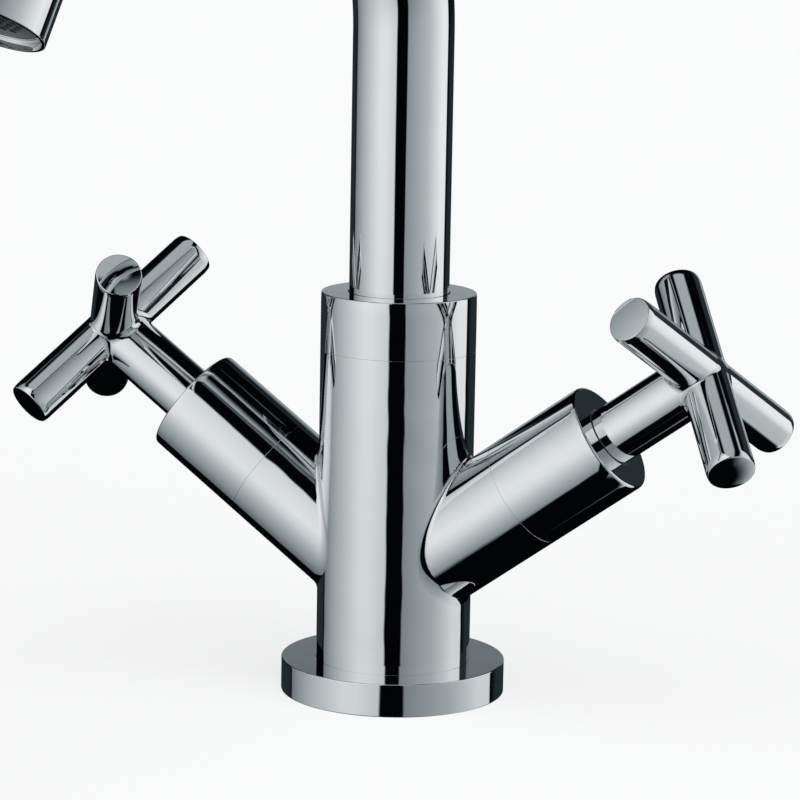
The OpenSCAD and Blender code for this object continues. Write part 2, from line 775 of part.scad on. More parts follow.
main_body();
base_flange();
flange_gasket();
body_collar();
lower_glide_ring();
upper_glide_ring();
spout_stop_screw();
sleeve(hot);  // hot_sleeve
valve_housing(hot);  // hot_valve_housing
fixed_disc(hot);  // hot_fixed_disc
seat_seal(hot);  // hot_seat_seal
housing_gasket(hot);  // hot_housing_gasket
stem_guide(hot);  // hot_stem_guide
sleeve(cold);  // cold_sleeve
valve_housing(cold);  // cold_valve_housing
fixed_disc(cold);  // cold_fixed_disc
seat_seal(cold);  // cold_seat_seal
housing_gasket(cold);  // cold_housing_gasket
stem_guide(cold);  // cold_stem_guide
spout_tube();
spout_end();
spout_foot();
foot_seal(0);  // lower_foot_seal
foot_seal(1);  // upper_foot_seal
aerator_ring();
aerator_honeycomb();
aerator_strainer();
aerator_washer();
cross_handle(hot, hot_cross_angle);  // hot_cross_handle
handle_grub_screw(hot);  // hot_grub_screw
spindle(hot);  // hot_spindle
moving_disc(hot);  // hot_moving_disc
spline_insert(hot);  // hot_spline_insert
spindle_seal(hot);  // hot_spindle_seal
spindle_clip(hot);  // hot_spindle_clip
cross_handle(cold, cold_cross_angle);  // cold_cross_handle
handle_grub_screw(cold);  // cold_grub_screw
spindle(cold);  // cold_spindle
moving_disc(cold);  // cold_moving_disc
spline_insert(cold);  // cold_spline_insert
spindle_seal(cold);  // cold_spindle_seal
spindle_clip(cold);  // cold_spindle_clip
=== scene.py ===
import json
import math

import bpy
import numpy as np
from mathutils import Matrix, Vector


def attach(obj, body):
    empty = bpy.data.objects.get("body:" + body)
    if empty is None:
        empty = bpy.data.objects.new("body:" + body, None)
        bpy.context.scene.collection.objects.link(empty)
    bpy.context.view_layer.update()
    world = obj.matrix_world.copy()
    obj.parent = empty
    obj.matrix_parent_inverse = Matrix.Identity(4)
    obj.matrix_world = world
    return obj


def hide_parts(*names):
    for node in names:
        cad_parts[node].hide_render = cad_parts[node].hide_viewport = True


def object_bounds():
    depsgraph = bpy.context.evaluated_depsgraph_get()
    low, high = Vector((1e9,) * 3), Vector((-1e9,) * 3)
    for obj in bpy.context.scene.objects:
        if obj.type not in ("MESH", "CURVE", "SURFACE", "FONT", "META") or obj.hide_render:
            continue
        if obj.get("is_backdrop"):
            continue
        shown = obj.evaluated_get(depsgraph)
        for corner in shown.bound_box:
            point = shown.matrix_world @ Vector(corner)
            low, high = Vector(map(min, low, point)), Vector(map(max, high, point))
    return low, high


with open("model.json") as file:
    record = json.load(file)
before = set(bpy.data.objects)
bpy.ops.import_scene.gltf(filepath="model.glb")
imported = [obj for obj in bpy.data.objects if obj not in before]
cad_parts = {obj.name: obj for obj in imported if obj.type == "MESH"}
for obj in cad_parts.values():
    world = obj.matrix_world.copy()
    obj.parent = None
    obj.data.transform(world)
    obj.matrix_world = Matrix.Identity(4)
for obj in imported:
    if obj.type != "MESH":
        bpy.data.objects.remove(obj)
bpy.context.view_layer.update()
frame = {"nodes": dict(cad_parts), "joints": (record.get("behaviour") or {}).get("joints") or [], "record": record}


# The base flange: a turned brass ring, chromed, that covers the hole in the basin. A ledge
# inside it carries the body, and a groove underneath holds a black rubber gasket.
# Sizes are in millimetres, along and about each piece's own axis.
mm = 0.001
# The roundings of edges that catch the light, of crisp ones at seams, and of hidden ones.
edge, fine_edge, hidden_edge = 0.3, 0.06, 0.05


def heading(start, end, way):
    """The direction of an outline's stretch at its start (way -1) or at its end (way 1). A
    bowed one leans off its chord there, by the chord's own angle to the nearer axis."""
    run = Vector((end[0] - start[0], end[1] - start[1]))
    lean = math.atan2(*sorted(abs(part) for part in run)) if len(start) > 3 else 0
    return Matrix.Rotation(way * lean, 2) @ run.normalized()


def walk(corners, fine=None):
    """A closed outline of (radius, height, rounding) corners with the metal on its left, as
    samples (radius, height, and the two parts of the outward normal). A fourth value, True,
    bows the stretch to the next corner outwards, as buffing and doming do. Fine is a range
    of heights and a step, where an upright stretch gets more samples."""
    samples, bow_steps, wide_arc_steps, fine_arc_steps = [], 8, 6, 2
    for i, corner in enumerate(corners):
        r, z, rounding = corner[:3]
        before, after = corners[i - 1], corners[(i + 1) % len(corners)]
        come, leave = heading(before, corner, 1), heading(corner, after, -1)
        out_come, out_leave = Vector((come.y, -come.x)), Vector((leave.y, -leave.x))
        if r == 0:
            out = out_leave if before[0] == 0 else out_come
            own = [(0, z, out.x, out.y)]
        else:
            turn = math.atan2(come.cross(leave), come.dot(leave))
            back = rounding * math.tan(abs(turn) / 2)
            side = 1 if turn > 0 else -1
            middle = Vector((r, z)) - come * back - side * rounding * out_come
            arc_steps = wide_arc_steps if rounding > fine_edge else fine_arc_steps if rounding else 0
            own = []
            for k in range(arc_steps + 1):
                out = Matrix.Rotation(turn * k / max(arc_steps, 1), 2) @ out_come
                at = middle + side * rounding * out
                own.append((at.x, at.y, out.x, out.y))
        if samples and len(before) > 3:
            first, last = Vector(samples[-1][:2]), Vector(own[0][:2])
            first_out, last_out = Vector(samples[-1][2:]), Vector(own[0][2:])
            bow = 2 * (last - first).length * math.tan(first_out.angle(last_out) / 4)
            for k in range(1, bow_steps):
                share = k / bow_steps
                out = first_out.lerp(last_out, share).normalized()
                at = first.lerp(last, share) + out * bow * share * (1 - share)
                samples.append((at.x, at.y, out.x, out.y))
        samples += own
        if fine and r == after[0] > 0:
            low, high, step = fine
            bottom, top = sorted((z, after[1]))
            heights = [h for h in np.arange(low, high, step) if bottom + step < h < top - step]
            for h in heights if after[1] > z else heights[::-1]:
                samples.append((r, h, out_leave.x, out_leave.y))
    return samples


def mesh_object(name, points, normals, faces, place=Matrix()):
    """A mesh in the row frame, in metres, with the given outward normals."""
    mesh = bpy.data.meshes.new(name)
    turn = np.array(place.to_3x3())
    at = np.array(points) @ turn.T + np.array(place.translation)
    mesh.from_pydata((at * mm).tolist(), [], faces)
    mesh.shade_smooth()
    mesh.normals_split_custom_set_from_vertices((np.array(normals) @ turn.T).tolist())
    piece = bpy.data.objects.new(name, mesh)
    bpy.context.scene.collection.objects.link(piece)
    return piece


def turned(name, corners, place=Matrix(), segments=160, fine=None):
    """A turned piece: its outline spun about the Z axis of its place, with true normals."""
    points, normals, faces, rings = [], [], [], []
    angles = [2 * math.pi * j / segments for j in range(segments)]
    for r, z, nr, nz in walk(corners, fine):
        count = segments if r > 0 else 1
        rings.append((len(points), count))
        points += [(r * math.cos(a), r * math.sin(a), z) for a in angles[:count]]
        normals += [(nr * math.cos(a), nr * math.sin(a), nz) for a in angles[:count]]
    for (low, low_count), (high, high_count) in zip(rings, rings[1:] + rings[:1]):
        for j in range(segments):
            k = (j + 1) % segments
            face = [low + j % low_count, low + k % low_count,
                    high + k % high_count, high + j % high_count]
            face = list(dict.fromkeys(face))
            if len(face) > 2:
                faces.append(face)
    return mesh_object(name, points, normals, faces, place)


def add_node(tree, kind, sockets=None, **settings):
    """Adds a shader node. Each named socket takes a value, or another node's output."""
    made = tree.nodes.new("ShaderNode" + kind)
    for key, value in settings.items():
        setattr(made, key, value)
    for key, value in (sockets or {}).items():
        if isinstance(value, bpy.types.NodeSocket):
            tree.links.new(value, made.inputs[key])
        else:
            made.inputs[key].default_value = value
    return made


def maths(tree, operation, *values):
    """The output of a Math node."""
    return add_node(tree, "Math", dict(enumerate(values)), operation=operation).outputs[0]


def spread(tree, value, low, high, to_low, to_high, kind="LINEAR"):
    """A value mapped from one range to another, and held at its ends."""
    sockets = {"Value": value, "From Min": low, "From Max": high, "To Min": to_low, "To Max": to_high}
    return add_node(tree, "MapRange", sockets, interpolation_type=kind).outputs["Result"]


def noise(tree, coordinates, grain, detail=2.0):
    """A noise pattern, as large in millimetres as grain says, from 0 to 1."""
    sockets = {"Vector": coordinates, "Scale": 1 / (grain * mm), "Detail": detail}
    return add_node(tree, "TexNoise", sockets).outputs["Fac"]


def shader_group(name, takes, gives):
    """An empty node group with named inputs and outputs: its tree, inputs and output node."""
    tree = bpy.data.node_groups.new(name, "ShaderNodeTree")
    for socket, value in takes.items():
        kind = "NodeSocketVector" if isinstance(value, tuple) else "NodeSocketFloat"
        tree.interface.new_socket(name=socket, in_out="INPUT", socket_type=kind).default_value = value
    for socket in gives:
        tree.interface.new_socket(name=socket, in_out="OUTPUT", socket_type="NodeSocketFloat")
    entry, leave = tree.nodes.new("NodeGroupInput"), tree.nodes.new("NodeGroupOutput")
    return tree, entry.outputs, leave.inputs


# What the buffing wheel leaves on plated metal: a slow waviness, hairlines and faint smears.
buffing, takes, gives = shader_group(
    "buffing", {"Wave Depth": 1e-6, "Hairline Depth": 1e-8, "Roughness": 0.02},
    ["Tone", "Roughness", "Height"])
surface = add_node(buffing, "TexCoord").outputs["Object"]
wave_size, hairline_size, smear_size = 14, 0.5, 22
waves = noise(buffing, surface, wave_size, 1.0)
hairlines = noise(buffing, surface, hairline_size, 3.0)
smears = spread(buffing, noise(buffing, surface, smear_size, 4.0), 0.45, 0.75, 0, 1)
wave_height = maths(buffing, "MULTIPLY", waves, takes["Wave Depth"])
height = maths(buffing, "MULTIPLY_ADD", hairlines, takes["Hairline Depth"], wave_height)
dulling = maths(buffing, "MULTIPLY_ADD", smears, 0.8, maths(buffing, "ADD", hairlines, 0.5))
buffing.links.new(smears, gives["Tone"])
buffing.links.new(maths(buffing, "MULTIPLY", dulling, takes["Roughness"]), gives["Roughness"])
buffing.links.new(height, gives["Height"])


def finished(name, effect, values, colours, **constants):
    """A material with one effect group: it blends two colours, and sets roughness and relief."""
    material = bpy.data.materials.new(name)
    material.use_nodes = True
    tree = material.node_tree
    shader = tree.nodes["Principled BSDF"]
    for socket, value in constants.items():
        shader.inputs[socket.replace("_", " ")].default_value = value
    marks = add_node(tree, "Group", values, node_tree=effect)
    blend = add_node(tree, "Mix", {"Factor": marks.outputs["Tone"]}, data_type="RGBA")
    blend.inputs["A"].default_value, blend.inputs["B"].default_value = [(*c, 1) for c in colours]
    relief = add_node(tree, "Bump", {"Height": marks.outputs["Height"], "Distance": 1.0})
    tree.links.new(blend.outputs["Result"], shader.inputs["Base Color"])
    tree.links.new(marks.outputs["Roughness"], shader.inputs["Roughness"])
    tree.links.new(relief.outputs["Normal"], shader.inputs["Normal"])
    return material


def dressed(piece, body, material, slot, *nodes):
    """Gives a piece its finish and body, and hides the CAD nodes that it stands for."""
    piece.data.materials.clear()
    piece.data.materials.append(material)
    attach(piece, body)
    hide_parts(*nodes)
    return piece


def carried(material, *nodes):
    """Gives its finish to a CAD piece that stays as it is."""
    for name in nodes:
        piece = frame["nodes"][name]
        piece.data.materials.clear()
        piece.data.materials.append(material)


chrome_tones = (0.781, 0.800, 0.806), (0.762, 0.782, 0.789)
turned_chrome = finished("turned_chrome", buffing, {"Wave Depth": 5e-5, "Hairline Depth": 2e-8},
                         chrome_tones, Metallic=1)
flange_r, flange_h, flange_ledge_h = 30.5, 9, 5
body_r, body_spigot_r, play = 21, 17.9, 0.05
groove_in_r, groove_out_r, groove_h = 22.65, 27.35, 2
flange_segments = 224
base_flange = turned("base_flange_skin", [
    (body_spigot_r + play, 0, hidden_edge), (groove_in_r, 0, hidden_edge),
    (groove_in_r, groove_h, hidden_edge), (groove_out_r, groove_h, hidden_edge),
    (groove_out_r, 0, hidden_edge), (flange_r, 0, edge), (flange_r, flange_h, edge),
    (body_r + play, flange_h, fine_edge), (body_r + play, flange_ledge_h, hidden_edge),
    (body_spigot_r + play, flange_ledge_h, hidden_edge),
], segments=flange_segments)
dressed(base_flange, "root", turned_chrome, "chrome", "base_flange")

# What a mould leaves on rubber and plastic: a fine grain, and colour that clouds a little.
moulding, takes, gives = shader_group(
    "moulding", {"Grain Depth": 1e-5, "Low Roughness": 0.5, "High Roughness": 0.7},
    ["Tone", "Roughness", "Height"])
surface = add_node(moulding, "TexCoord").outputs["Object"]
grain_size, cloud_size = 0.35, 4
grain = noise(moulding, surface, grain_size, 4.0)
moulding.links.new(noise(moulding, surface, cloud_size, 3.0), gives["Tone"])
moulding.links.new(maths(moulding, "MULTIPLY", grain, takes["Grain Depth"]), gives["Height"])
moulding.links.new(spread(moulding, grain, 0.3, 0.7, takes["Low Roughness"], takes["High Roughness"]),
                   gives["Roughness"])
black_rubber = finished("black_rubber", moulding, {"Grain Depth": 2e-5},
                        [(0.018, 0.018, 0.019), (0.034, 0.033, 0.032)])
carried(black_rubber, "flange_gasket")


# The body: a brass casting, turned, bored and chromed, with two slanted valve arms. Small
# fillets blend the arms into the round body, and its bores and channels stay bare brass.
cast_chrome = finished("cast_chrome", buffing, {"Wave Depth": 1.5e-4, "Hairline Depth": 2e-8},
                       chrome_tones, Metallic=1)
joints = {joint["name"]: joint for joint in frame["joints"]}
body_foot_z, body_seam_z = 0.4, 94.5
arm_r, arm_seam, arm_spigot_r, arm_spigot_end = 15.5, 46, 13.4, 50
arm_fillet, overrun = 1.1, 1
body_segments, arm_segments, bore_segments = 240, 200, 64
# Where the arms meet the body, both get finer samples: the heights from and to, and a step.
body_fine, arm_fine = (22, 74, 0.7), (10, 44, 0.6)
# This lays a turned piece down, with its axis along X.
flat = Matrix.Rotation(math.pi / 2, 4, "Y")

# What the lathe leaves on a turned piece: fine rings about its axis, and a little tarnish.
turning, takes, gives = shader_group(
    "turning", {"Axis": (0.0, 0.0, 1.0), "Pitch": 0.3 * mm, "Depth": 2e-6},
    ["Tone", "Roughness", "Height"])
surface = add_node(turning, "TexCoord").outputs["Object"]
along = add_node(turning, "VectorMath", {0: surface, 1: takes["Axis"]}, operation="DOT_PRODUCT")
tarnish_size, jitter_size = 6, 1.2
jitter = noise(turning, surface, jitter_size)
turns = maths(turning, "ADD", maths(turning, "DIVIDE", along.outputs["Value"], takes["Pitch"]), jitter)
rings = maths(turning, "SINE", maths(turning, "MULTIPLY", turns, 2 * math.pi))
turning.links.new(spread(turning, noise(turning, surface, tarnish_size, 5.0), 0.4, 0.7, 0, 1),
                  gives["Tone"])
turning.links.new(spread(turning, rings, -1, 1, 0.22, 0.34), gives["Roughness"])
turning.links.new(maths(turning, "MULTIPLY", rings, takes["Depth"]), gives["Height"])


def on_arm(side, distance=0):
    """The place at a distance along an arm: Z runs outwards along the arm."""
    joint = joints[f"{side}_turn"]
    x, _, z = (abs(v) for v in joint["axis"])
    lean = math.atan2(x, z) * (1 if side == "cold" else -1)
    root = Matrix.Translation(Vector(joint["pos_m"]) / mm)
    return root @ Matrix.Rotation(lean, 4, "Y") @ Matrix.Translation((0, 0, distance))


brass_tones = (0.72, 0.53, 0.23), (0.52, 0.36, 0.15)


def machined_brass(side):
    """Bare brass with its turning marks about the body's axis, or about an arm's."""
    axis = on_arm(side).to_3x3() @ Vector((0, 0, 1)) if side else Vector((0, 0, 1))
    return finished(f"machined_brass_{side or 'upright'}", turning, {"Axis": axis},
                    brass_tones, Metallic=1)


brass = {side: machined_brass(side) for side in (None, "hot", "cold")}


def rod(r, low, high, rounding=hidden_edge):
    """The outline of a plain round rod."""
    return [(0, low, 0), (r, low, rounding), (r, high, rounding), (0, high, 0)]


def from_rod(points, place, r, end=None):
    """How far points lie from the surface of a round rod along the Z axis of its place. The
    rod has no ends, or one where end says."""
    inverse = place.inverted()
    local = points @ np.array(inverse.to_3x3()).T + np.array(inverse.translation)
    out = np.hypot(local[:, 0], local[:, 1]) - r
    if end is None:
        return out
    past = local[:, 2] - end
    return np.minimum(np.maximum(out, past), 0) + np.hypot(np.maximum(out, 0), np.maximum(past, 0))


def rounded_union(a, b, fillet):
    """The distance from two solids that a fillet of that radius blends."""
    near_a, near_b = np.maximum(fillet - a, 0), np.maximum(fillet - b, 0)
    return np.maximum(np.minimum(a, b), fillet) - np.hypot(near_a, near_b)


def slope(distance, points):
    """The outward direction of a distance function at each point."""
    small, tiny = 1e-4, 1e-12
    axes = [distance(points + small * axis) - distance(points - small * axis) for axis in np.eye(3)]
    out = np.stack(axes, 1)
    return out / np.maximum(np.linalg.norm(out, axis=1, keepdims=True), tiny)


def numbers(items, attribute, width=3):
    """One attribute of all items of a mesh, as an array."""
    values = np.zeros(len(items) * width, int if width == 1 else float)
    items.foreach_get(attribute, values)
    return values.reshape(-1, width) if width > 1 else values


def machined(name, parts, cutters, distance, skin, bare):
    """Fuses the parts and cuts the cutters out of them. Where the blended distance differs
    from the sharp one, the skin moves onto the blended form. All faces keep true normals,
    and the cut ones get the bare metal."""
    for piece in parts + cutters:
        way = -1 if piece in cutters else 1
        kept = piece.data.attributes.new("true_normal", "FLOAT_VECTOR", "CORNER")
        kept.data.foreach_set("vector", way * numbers(piece.data.corner_normals, "vector").ravel())
        for material in (skin, bare):
            piece.data.materials.append(material)
        piece.data.polygons.foreach_set("material_index", [way < 0] * len(piece.data.polygons))
    for operation, group in (("UNION", parts[1:]), ("DIFFERENCE", cutters)):
        for piece in group:
            modifier = parts[0].modifiers.new(piece.name, "BOOLEAN")
            modifier.operation = operation
            modifier.solver = "MANIFOLD"
            modifier.object = piece
    ready = parts[0].evaluated_get(bpy.context.evaluated_depsgraph_get())
    mesh = bpy.data.meshes.new_from_object(ready)
    for piece in parts + cutters:
        bpy.data.objects.remove(piece)
    points = numbers(mesh.vertices, "co") / mm
    corners = numbers(mesh.loops, "vertex_index", 1)
    normals = numbers(mesh.attributes["true_normal"].data, "vector")
    on_skin, moved_by_blend, passes = 1e-2, 1e-4, 6
    sharp = distance(points, 0)
    blended = (np.abs(sharp) < on_skin) & (np.abs(distance(points) - sharp) > moved_by_blend)
    for _ in range(passes):
        at = points[blended]
        points[blended] = at - distance(at)[:, None] * slope(distance, at)
    mesh.vertices.foreach_set("co", (points * mm).ravel())
    out = np.zeros_like(points)
    out[blended] = slope(distance, points[blended])
    normals = np.where(blended[corners][:, None], out[corners], normals)
    mesh.attributes.remove(mesh.attributes["true_normal"])
    mesh.update()
    mesh.shade_smooth()
    mesh.normals_split_custom_set(normals.tolist())
    piece = bpy.data.objects.new(name, mesh)
    bpy.context.scene.collection.objects.link(piece)
    return piece


def body_distance(points, blend=1):
    """How far points lie from the outside of the body and its arms, sharp where blend is 0."""
    body = from_rod(points, Matrix(), body_r)
    far_off = 1e3
    hot_side = points[:, 0] < 0
    arms = np.minimum(from_rod(points, on_arm("hot"), arm_r) + far_off * ~hot_side,
                      from_rod(points, on_arm("cold"), arm_r) + far_off * hot_side)
    return rounded_union(body, arms, arm_fillet * blend)


# The bores: the collar's well, the spout's well, the mixing chamber, the passage between the
# valves, the fixing stud's hole and, on each side, the inlet, its channel and the valve's seat.
collar_well_r, collar_seat_z, spout_well_r, spout_well_z = 17.05, 79, 12.03, 60.05
mixing_r, passage_r, passage_z = 7, 3.5, 52
stud_hole_r, stud_hole_off, stud_hole_z = 3.35, 11, 15.4
inlet_off, inlet_r, inlet_z, channel_r = 10, 4.5, 12.4, 3.5
seat_hole_r, seat_hole_base, seat_well_r, seat_base = 4.5, 10, 9.3, 20
chamber_r, chamber_base = 10.2, 24.1
stop_hole_r, stop_z = 2.05, 81.55
bores = [
    (rod(collar_well_r, collar_seat_z, body_seam_z + overrun), Matrix()),
    (rod(spout_well_r, spout_well_z, collar_seat_z + overrun), Matrix()),
    (rod(mixing_r, passage_z, spout_well_z + overrun), Matrix()),
    (rod(passage_r, -body_r, body_r),
     Matrix.Translation((0, 0, passage_z)) @ flat),
    (rod(stud_hole_r, -overrun, stud_hole_z), Matrix.Translation((0, stud_hole_off, 0))),
    (rod(stop_hole_r, 0, body_r + overrun),
     Matrix.Translation((0, 0, stop_z)) @ Matrix.Rotation(-math.pi / 2, 4, "X")),
]
arm_z = on_arm("hot").translation.z
channel_top_z = arm_z + inlet_off * math.tan(math.asin(joints["hot_turn"]["axis"][2]))
for side, way in (("hot", -1), ("cold", 1)):
    inlet = Matrix.Translation((way * inlet_off, 0, 0))
    bores += [
        (rod(inlet_r, -overrun, inlet_z), inlet), (rod(channel_r, 0, channel_top_z), inlet),
        (rod(seat_hole_r, seat_hole_base, seat_base + overrun), on_arm(side)),
        (rod(seat_well_r, seat_base, chamber_base + overrun), on_arm(side)),
        (rod(chamber_r, chamber_base, arm_spigot_end + overrun), on_arm(side)),
    ]
body_cutters = [turned(f"bore_{i}", outline, place, segments=bore_segments)
                for i, (outline, place) in enumerate(bores)]

body_parts = [turned("body_core", [
    (0, body_foot_z, 0), (body_spigot_r, body_foot_z, hidden_edge),
    (body_spigot_r, flange_ledge_h, hidden_edge), (body_r, flange_ledge_h, hidden_edge),
    (body_r, body_seam_z, fine_edge), (0, body_seam_z, 0),
], segments=body_segments, fine=body_fine)]
for side in ("hot", "cold"):
    body_parts.append(turned(f"{side}_arm_core", [
        (0, 0, 0), (arm_r, 0, hidden_edge), (arm_r, arm_seam, fine_edge),
        (arm_spigot_r, arm_seam, hidden_edge), (arm_spigot_r, arm_spigot_end, hidden_edge),
        (0, arm_spigot_end, 0),
    ], place=on_arm(side), segments=arm_segments, fine=arm_fine))
main_body = machined("main_body_skin", body_parts, body_cutters, body_distance,
                     cast_chrome, brass[None])
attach(main_body, "root")
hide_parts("main_body")


# The valves: in each arm a brass housing holds a fixed and a turning ceramic disc, which the
# brass spindle turns. Rubber, a fibre gasket and a steel clip seal and keep them.
ceramic = finished("lapped_ceramic", moulding,
                   {"Grain Depth": 1e-6, "Low Roughness": 0.08, "High Roughness": 0.16},
                   [(0.88, 0.87, 0.84), (0.80, 0.79, 0.75)])
red_fibre = finished("red_fibre", moulding,
                     {"Grain Depth": 6e-5, "Low Roughness": 0.75, "High Roughness": 0.95},
                     [(0.42, 0.08, 0.06), (0.26, 0.05, 0.04)])
steel = finished("turned_steel", turning, {"Depth": 1e-6, "Pitch": 0.2 * mm},
                 [(0.60, 0.60, 0.61), (0.48, 0.48, 0.49)], Metallic=1)
for side in ("hot", "cold"):
    carried(brass[side], f"{side}_valve_housing", f"{side}_spindle", f"{side}_spline_insert")
    carried(ceramic, f"{side}_fixed_disc", f"{side}_moving_disc")
    carried(black_rubber, f"{side}_seat_seal", f"{side}_spindle_seal")
    carried(red_fibre, f"{side}_housing_gasket")
    carried(steel, f"{side}_spindle_clip")


# The two sleeves: chromed brass tubes, closed at their outer end, that screw onto the arms
# and hide the valves. A plastic ring behind the end wall's lip centres the handle's stem.
sleeve_face, sleeve_inner, sleeve_bore_r, sleeve_rim = 75, 71.5, 13.45, 0.7
guide_hole_r, lip_base, stem_hole_r = 9.33, 74.2, 8.5
sleeve_ease, sleeve_drop = 2.5, 0.09
guide_plastic = finished("guide_plastic", moulding,
                         {"Grain Depth": 4e-6, "Low Roughness": 0.3, "High Roughness": 0.45},
                         [(0.30, 0.31, 0.32), (0.25, 0.26, 0.27)])
for side in ("hot", "cold"):
    sleeve = turned(f"{side}_sleeve_skin", [
        (sleeve_bore_r, arm_seam, hidden_edge), (arm_r, arm_seam, fine_edge),
        (arm_r, sleeve_face - sleeve_ease, 0, True), (arm_r - sleeve_drop, sleeve_face, sleeve_rim),
        (stem_hole_r, sleeve_face, fine_edge),
        (stem_hole_r, lip_base, hidden_edge), (guide_hole_r, lip_base, hidden_edge),
        (guide_hole_r, sleeve_inner, hidden_edge), (sleeve_bore_r, sleeve_inner, hidden_edge),
    ], place=on_arm(side), segments=arm_segments)
    dressed(sleeve, "root", turned_chrome, "chrome", f"{side}_sleeve")
    carried(guide_plastic, f"{side}_stem_guide")


# The cross handles: each a chromed stem with four round bars, blended where they meet and
# domed at their ends. The stem takes a splined brass insert, and a grub screw locks it.
handle_chrome = finished("handle_chrome", buffing, {"Wave Depth": 5e-5, "Hairline Depth": 3e-8},
                         chrome_tones, Metallic=1)
stem_r, stem_base, cross_dist = 8, 66.3, 106
bar_r, bar_tip, bar_rim, bar_ease, bar_drop = 6.4, 33.62, 33.28, 2.2, 0.28
bar_fillet, stem_fillet = 0.5, 1.4
stem_bore_r, stem_bore_end, grub_hole_r, grub_dist = 5.6, 84.3, 2.05, 79
bar_outline = [
    (0, -bar_tip, 0, True), (bar_r - bar_drop, -bar_rim, edge, True), (bar_r, bar_ease - bar_rim, 0),
    (bar_r, bar_rim - bar_ease, 0, True), (bar_r - bar_drop, bar_rim, edge, True), (0, bar_tip, 0),
]
cross_turns, grub_turns = {"hot": 44.5, "cold": 48.5}, {"hot": 150, "cold": 30}
stem_segments, bar_segments, stem_bore_segments, grub_hole_segments = 160, 216, 96, 48
# Where the stem and the bars meet, they get finer samples, as the body does.
stem_fine, bar_fine = (92, 106, 0.4), (-14, 14, 0.35)


def cross_handle(side):
    """A handle in one piece, with the stem's bore and the grub screw's hole cut out."""
    hub = on_arm(side, cross_dist)
    bars = [hub @ Matrix.Rotation(math.radians(cross_turns[side] + quarter), 4, "Z") @ flat
            for quarter in (0, 90)]

    def cross_distance(points, blend=1):
        """How far points lie from the stem and the two bars, sharp where blend is 0."""
        stem = from_rod(points, on_arm(side), stem_r, cross_dist)
        one, two = (from_rod(points, place, bar_r) for place in bars)
        return rounded_union(rounded_union(one, two, bar_fillet * blend), stem, stem_fillet * blend)

    parts = [turned(f"{side}_stem_core", rod(stem_r, stem_base, cross_dist),
                    place=on_arm(side), segments=stem_segments, fine=stem_fine)]
    parts += [turned(f"{side}_bar_core_{i}", bar_outline, place=place, segments=bar_segments,
                     fine=bar_fine) for i, place in enumerate(bars)]
    screw_way = on_arm(side, grub_dist) @ Matrix.Rotation(math.radians(grub_turns[side]), 4, "Z") @ flat
    cutters = [turned("stem_bore", rod(stem_bore_r, stem_base - overrun, stem_bore_end),
                      place=on_arm(side), segments=stem_bore_segments),
               turned("grub_hole", rod(grub_hole_r, 0, stem_r + overrun),
                      place=screw_way, segments=grub_hole_segments)]
    return machined(f"{side}_cross_handle_skin", parts, cutters, cross_distance,
                    handle_chrome, brass[side])


for side in ("hot", "cold"):
    handle = cross_handle(side)
    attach(handle, f"{side}_handle")
    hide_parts(f"{side}_cross_handle")
    carried(steel, f"{side}_grub_screw")


# The spout: one brass tube, bent over and polished through its bend, with a turned end
# soldered on that takes the aerator. It turns on the foot that is soldered into its base.
tube_chrome = finished("tube_chrome", buffing, {"Wave Depth": 2e-5, "Hairline Depth": 2e-8},
                       chrome_tones, Metallic=1)
outlet = next(mount for mount in frame["record"]["mounts"] if mount["name"] == "outlet")
outlet_axis = Vector(outlet["axis"])
ahead = Vector((outlet_axis.x, outlet_axis.y, 0)).normalized()
tube_r, tube_in_r, tube_base_z, riser_z = 13.5, 12, 83.05, 180
bend_r, bend_sweep, outlet_run = 73, math.radians(152), 30.3
tube_segments, bend_steps = 160, 120


def bend_place(share):
    """The middle of the tube and its direction at a share of the bend."""
    angle = share * bend_sweep
    middle = ahead * bend_r * (1 - math.cos(angle)) + Vector((0, 0, riser_z + bend_r * math.sin(angle)))
    return middle, ahead * math.sin(angle) + Vector((0, 0, math.cos(angle)))


aside = Vector((0, 0, 1)).cross(ahead)
rings = [(Vector((0, 0, tube_base_z)), Vector((0, 0, 1)))]
rings += [bend_place(k / bend_steps) for k in range(bend_steps + 1)]
points, normals, faces = [], [], []
for r, way, order in ((tube_r, 1, rings), (tube_in_r, -1, rings[::-1])):
    for middle, along in order:
        up = along.cross(aside)
        for j in range(tube_segments):
            a = 2 * math.pi * j / tube_segments
            out = aside * math.cos(a) + up * math.sin(a)
            points.append(middle + out * r)
            normals.append(out * way)
for i in range(2 * len(rings)):
    low, high = i * tube_segments, (i + 1) % (2 * len(rings)) * tube_segments
    for j in range(tube_segments):
        k = (j + 1) % tube_segments
        faces.append((low + j, low + k, high + k, high + j))
spout = mesh_object("spout_tube_skin", points, normals, faces)
dressed(spout, "spout", tube_chrome, "chrome", "spout_tube")

end_place = Matrix.Translation(Vector(outlet["pos_m"]) / mm - outlet_axis * outlet_run) @ (
    outlet_axis.to_track_quat("Z", "Y").to_matrix().to_4x4())
aerator_bore_r, aerator_bore_depth, solder_edge = 12.6, 10, 0.01
bore_floor = outlet_run - aerator_bore_depth
spout_end = turned("spout_end_skin", [
    (tube_in_r, 0, hidden_edge), (tube_r, 0, solder_edge), (tube_r, outlet_run, edge),
    (aerator_bore_r, outlet_run, fine_edge), (aerator_bore_r, bore_floor, hidden_edge),
    (tube_in_r, bore_floor, hidden_edge),
], place=end_place, segments=tube_segments)
dressed(spout_end, "spout", tube_chrome, "chrome", "spout_end")
white_plastic = finished("white_plastic", moulding,
                         {"Grain Depth": 4e-6, "Low Roughness": 0.35, "High Roughness": 0.5},
                         [(0.86, 0.85, 0.81), (0.80, 0.79, 0.74)])
carried(brass[None], "spout_foot")
carried(black_rubber, "lower_foot_seal", "upper_foot_seal")
carried(white_plastic, "lower_glide_ring", "upper_glide_ring")
carried(steel, "spout_stop_screw")


